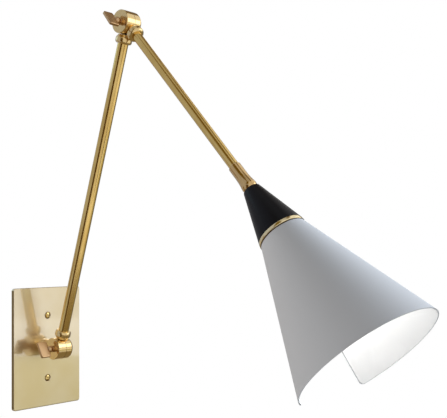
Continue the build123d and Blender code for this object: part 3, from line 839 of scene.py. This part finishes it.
def makeShoulders():
    top, topRadius = collarShoulder["top"]
    foot, footRadius = collarShoulder["foot"]
    corners = [(top, 0, 0), (top, topRadius, collarShoulder["rounding"]), (foot, footRadius, 0), (foot, 0, 0)]
    pattern = turnPiece("baseShoulder", corners, Vector(), Vector((0, 0, 1)), collarShoulder["segments"])
    seats = {
        "baseShoulder": ("wall_base", wallPivot, Vector((0, 1, 0))),
        "lowerArmShoulder": ("lower_arm", wallPivot, elbowPivot - wallPivot),
        "elbowShoulder": ("lower_arm", elbowPivot, wallPivot - elbowPivot),
        "upperArmShoulder": ("upper_arm", elbowPivot, ballCentre - elbowPivot),
    }
    pieces = [pattern if name == pattern.name else copyPiece(pattern, name) for name in seats]
    for piece, (body, pivot, along) in zip(pieces, seats.values()):
        placePiece(piece, pivot, along.to_track_quat("Z", "Y").to_euler())
        seatPiece(piece, body, swivelBrass)


makeCap()
makeRing()
print("cap and ring turned")
makePlateScrews()
makeLockNut()
print("plate screws and lock nut made")
makeWingScrews()
print("wing screws made")
makeShoulders()
print("collar shoulders turned")


studio = {
    "fill": 0.46,
    "white": (1.0, 1.0, 1.0),
    "floor": (0.6, 0.6, 0.59),
    "floorSize": 6.0,
    "floorDrop": 0.5,
}
groundCard = {"size": 2.0, "lift": 0.004, "tone": (0.23, 0.18, 0.10)}
cardRing = {
    "centre": Vector((0, -0.15, 0.15)),
    "radius": 1.2,
    "step": radians(6),
    "mergeWithin": 0.1 * mm,
}
# Cards that only metal sees: tone, then patches of bearing and height in degrees
cards = {
    "brownStrip": ((0.09, 0.045, 0.0), [((178, 213), (-36, 18))]),
    "oliveStrip": ((0.17, 0.11, 0.01), [((172, 213), (30, 66))]),
    "coolLeftBack": (
        (0.46, 0.47, 0.51),
        [
            ((138, 178), (-36, 18)),
            ((60, 118), (-36, 18)),
            ((118, 138), (-3, 18)),
            ((60, 100), (18, 66)),
            ((124, 172), (18, 66)),
            ((100, 124), (36, 66)),
            ((172, 213), (18, 30)),
        ],
    ),
    "glowLeftBack": ((0.85, 1.15, 1.3), [((100, 124), (18, 36))]),
    "brownLeftLow": ((0.25, 0.15, 0.06), [((118, 138), (-36, -3))]),
    "paleFront": (
        (0.72, 0.70, 0.68),
        [((-147, -68), (-27, 66)), ((-147, -125), (-36, -27)), ((-62, -40), (-36, -25))],
    ),
    "paleFrontLow": ((1.0, 0.97, 0.91), [((-125, -68), (-36, -27)), ((-68, -62), (-36, -25))]),
    "windowRight": ((2.4, 2.35, 2.3), [((-58, -24), (5, 31))]),
    "creamRight": (
        (0.85, 0.83, 0.80),
        [((-68, -28), (31, 66)), ((-28, 0), (38, 66)), ((-24, -12), (14, 38)), ((-12, 14), (24, 38))],
    ),
    "softRight": ((0.92, 0.90, 0.88), [((-56, -49), (-11, 5))]),
    "softRightFar": ((0.76, 0.74, 0.72), [((-49, -36), (-11, 5))]),
    "brightRight": ((1.2, 1.17, 1.13), [((-56, -36), (-15.5, -11))]),
    "khakiRightLow": ((0.52, 0.48, 0.26), [((-56, -24), (-25, -15.5)), ((-40, -24), (-36, -25))]),
    "duskRight": (
        (0.22, 0.21, 0.19),
        [
            ((-24, 60), (-36, 14)),
            ((-12, 14), (14, 24)),
            ((14, 17), (14, 38)),
            ((17, 40), (14, 22)),
            ((40, 60), (14, 38)),
        ],
    ),
    "edgeRight": ((1.2, 1.17, 1.12), [((17, 40), (22, 38))]),
    "brownRightHigh": ((0.18, 0.125, 0.06), [((0, 60), (38, 66)), ((-90, 60), (66, 78))]),
    "greyTop": ((0.46, 0.45, 0.43), [((60, 270), (66, 88)), ((-90, 60), (78, 88))]),
}
softBoxes = {
    "coolRightBox": {"place": (1.05, -1.15, 0.7), "size": 0.9, "power": 32, "tint": (0.80, 0.89, 1.0)},
    "warmLeftBox": {"place": (-0.8, 1.2, 0.35), "size": 0.9, "power": 14, "tint": (1.0, 0.93, 0.87)},
}
cameraView = {
    "place": (-0.5002, -0.6642, 0.0965),
    "looking": (0.754, 0.657, 0.0),
    "focalPixels": 840.0,
    "imageSize": (447, 418),
    "horizonRow": 246.6,
}


def hideFromCamera(card, tone):
    paint = newFinish(card.name)
    coat(card, paint.cover(paint.glow(tone)))
    for sight in ("visible_camera", "visible_diffuse", "visible_shadow", "visible_transmission"):
        setattr(card, sight, False)


def makeCard(name, bearing, height, tone):
    start, end = (radians(angle) for angle in bearing)
    low, high = (radians(angle) for angle in height)
    centre, radius = cardRing["centre"], cardRing["radius"]
    outward = Vector((cos(start), sin(start), 0))
    sideways = Vector((-sin(start), cos(start), 0))
    card = startPoint(name, centre + radius * (cos(low) * outward + sin(low) * Vector((0, 0, 1))))
    rise = max(1, round((high - low) / cardRing["step"]))
    sweep = max(1, round((end - start) / cardRing["step"]))
    bpy.ops.mesh.spin(steps=rise, angle=high - low, center=centre, axis=sideways)  # spin turns left-handed
    bpy.ops.mesh.select_all(action="SELECT")
    bpy.ops.mesh.spin(steps=sweep, angle=end - start, center=centre, axis=(0, 0, -1))
    mergeDoubles(cardRing["mergeWithin"])
    bpy.ops.object.mode_set(mode="OBJECT")
    hideFromCamera(card, tone)


def makeWorld():
    world = bpy.data.worlds.new("whiteStudio")
    bpy.context.scene.world = world
    paint = Paint(world)
    strength = studio["fill"] + (1 - studio["fill"]) * paint.seenPlainly()
    inputs = {"Color": asColour(studio["white"]), "Strength": strength}
    light = paint.node("ShaderNodeBackground", inputs=inputs)
    paint.node("ShaderNodeOutputWorld", inputs={"Surface": light})


def layPlane(name, size, height):
    bpy.ops.object.select_all(action="DESELECT")
    bpy.ops.mesh.primitive_plane_add(size=size, location=(0, 0, height))
    bpy.context.object.name = name
    return bpy.context.object


def makeFloor():
    floorHeight = cadBox[0].z - studio["floorDrop"]
    floor = layPlane("studioFloor", studio["floorSize"], floorHeight)
    paint = newFinish("paleFloor")
    matt = paint.node("ShaderNodeBsdfDiffuse", inputs={"Color": asColour(studio["floor"])})
    inputs = {0: paint.seenPlainly(), 1: matt, 2: paint.glow(studio["white"])}
    coat(floor, paint.cover(paint.node("ShaderNodeMixShader", inputs=inputs)))
    card = layPlane("groundCard", groundCard["size"], floorHeight + groundCard["lift"])
    hideFromCamera(card, groundCard["tone"])


def makeLamp(name, place, size, power, tint):
    bpy.ops.object.light_add(type="AREA", location=place)
    lamp = bpy.context.object
    lamp.name = name
    lamp.data.size = size
    lamp.data.energy = power
    lamp.data.color = tint
    lamp.visible_glossy = False  # metal shows the cards, not the lamps
    lamp.rotation_euler = (cardRing["centre"] - Vector(place)).to_track_quat("-Z", "Y").to_euler()


def makeCamera():
    bpy.ops.object.camera_add(location=cameraView["place"])
    camera = bpy.context.object
    camera.rotation_euler = Vector(cameraView["looking"]).to_track_quat("-Z", "Y").to_euler()
    width, height = cameraView["imageSize"]
    camera.data.lens = camera.data.sensor_width * cameraView["focalPixels"] / width
    camera.data.shift_y = (cameraView["horizonRow"] - height / 2) / width
    bpy.context.scene.camera = camera


makeWorld()
makeFloor()
for name, (tone, patches) in cards.items():
    for index, (bearing, height) in enumerate(patches):
        makeCard(name + str(index), bearing, height, tone)
for name, box in softBoxes.items():
    makeLamp(name, **box)
makeCamera()
bpy.context.scene.view_settings.view_transform = "Standard"
print("studio ready")
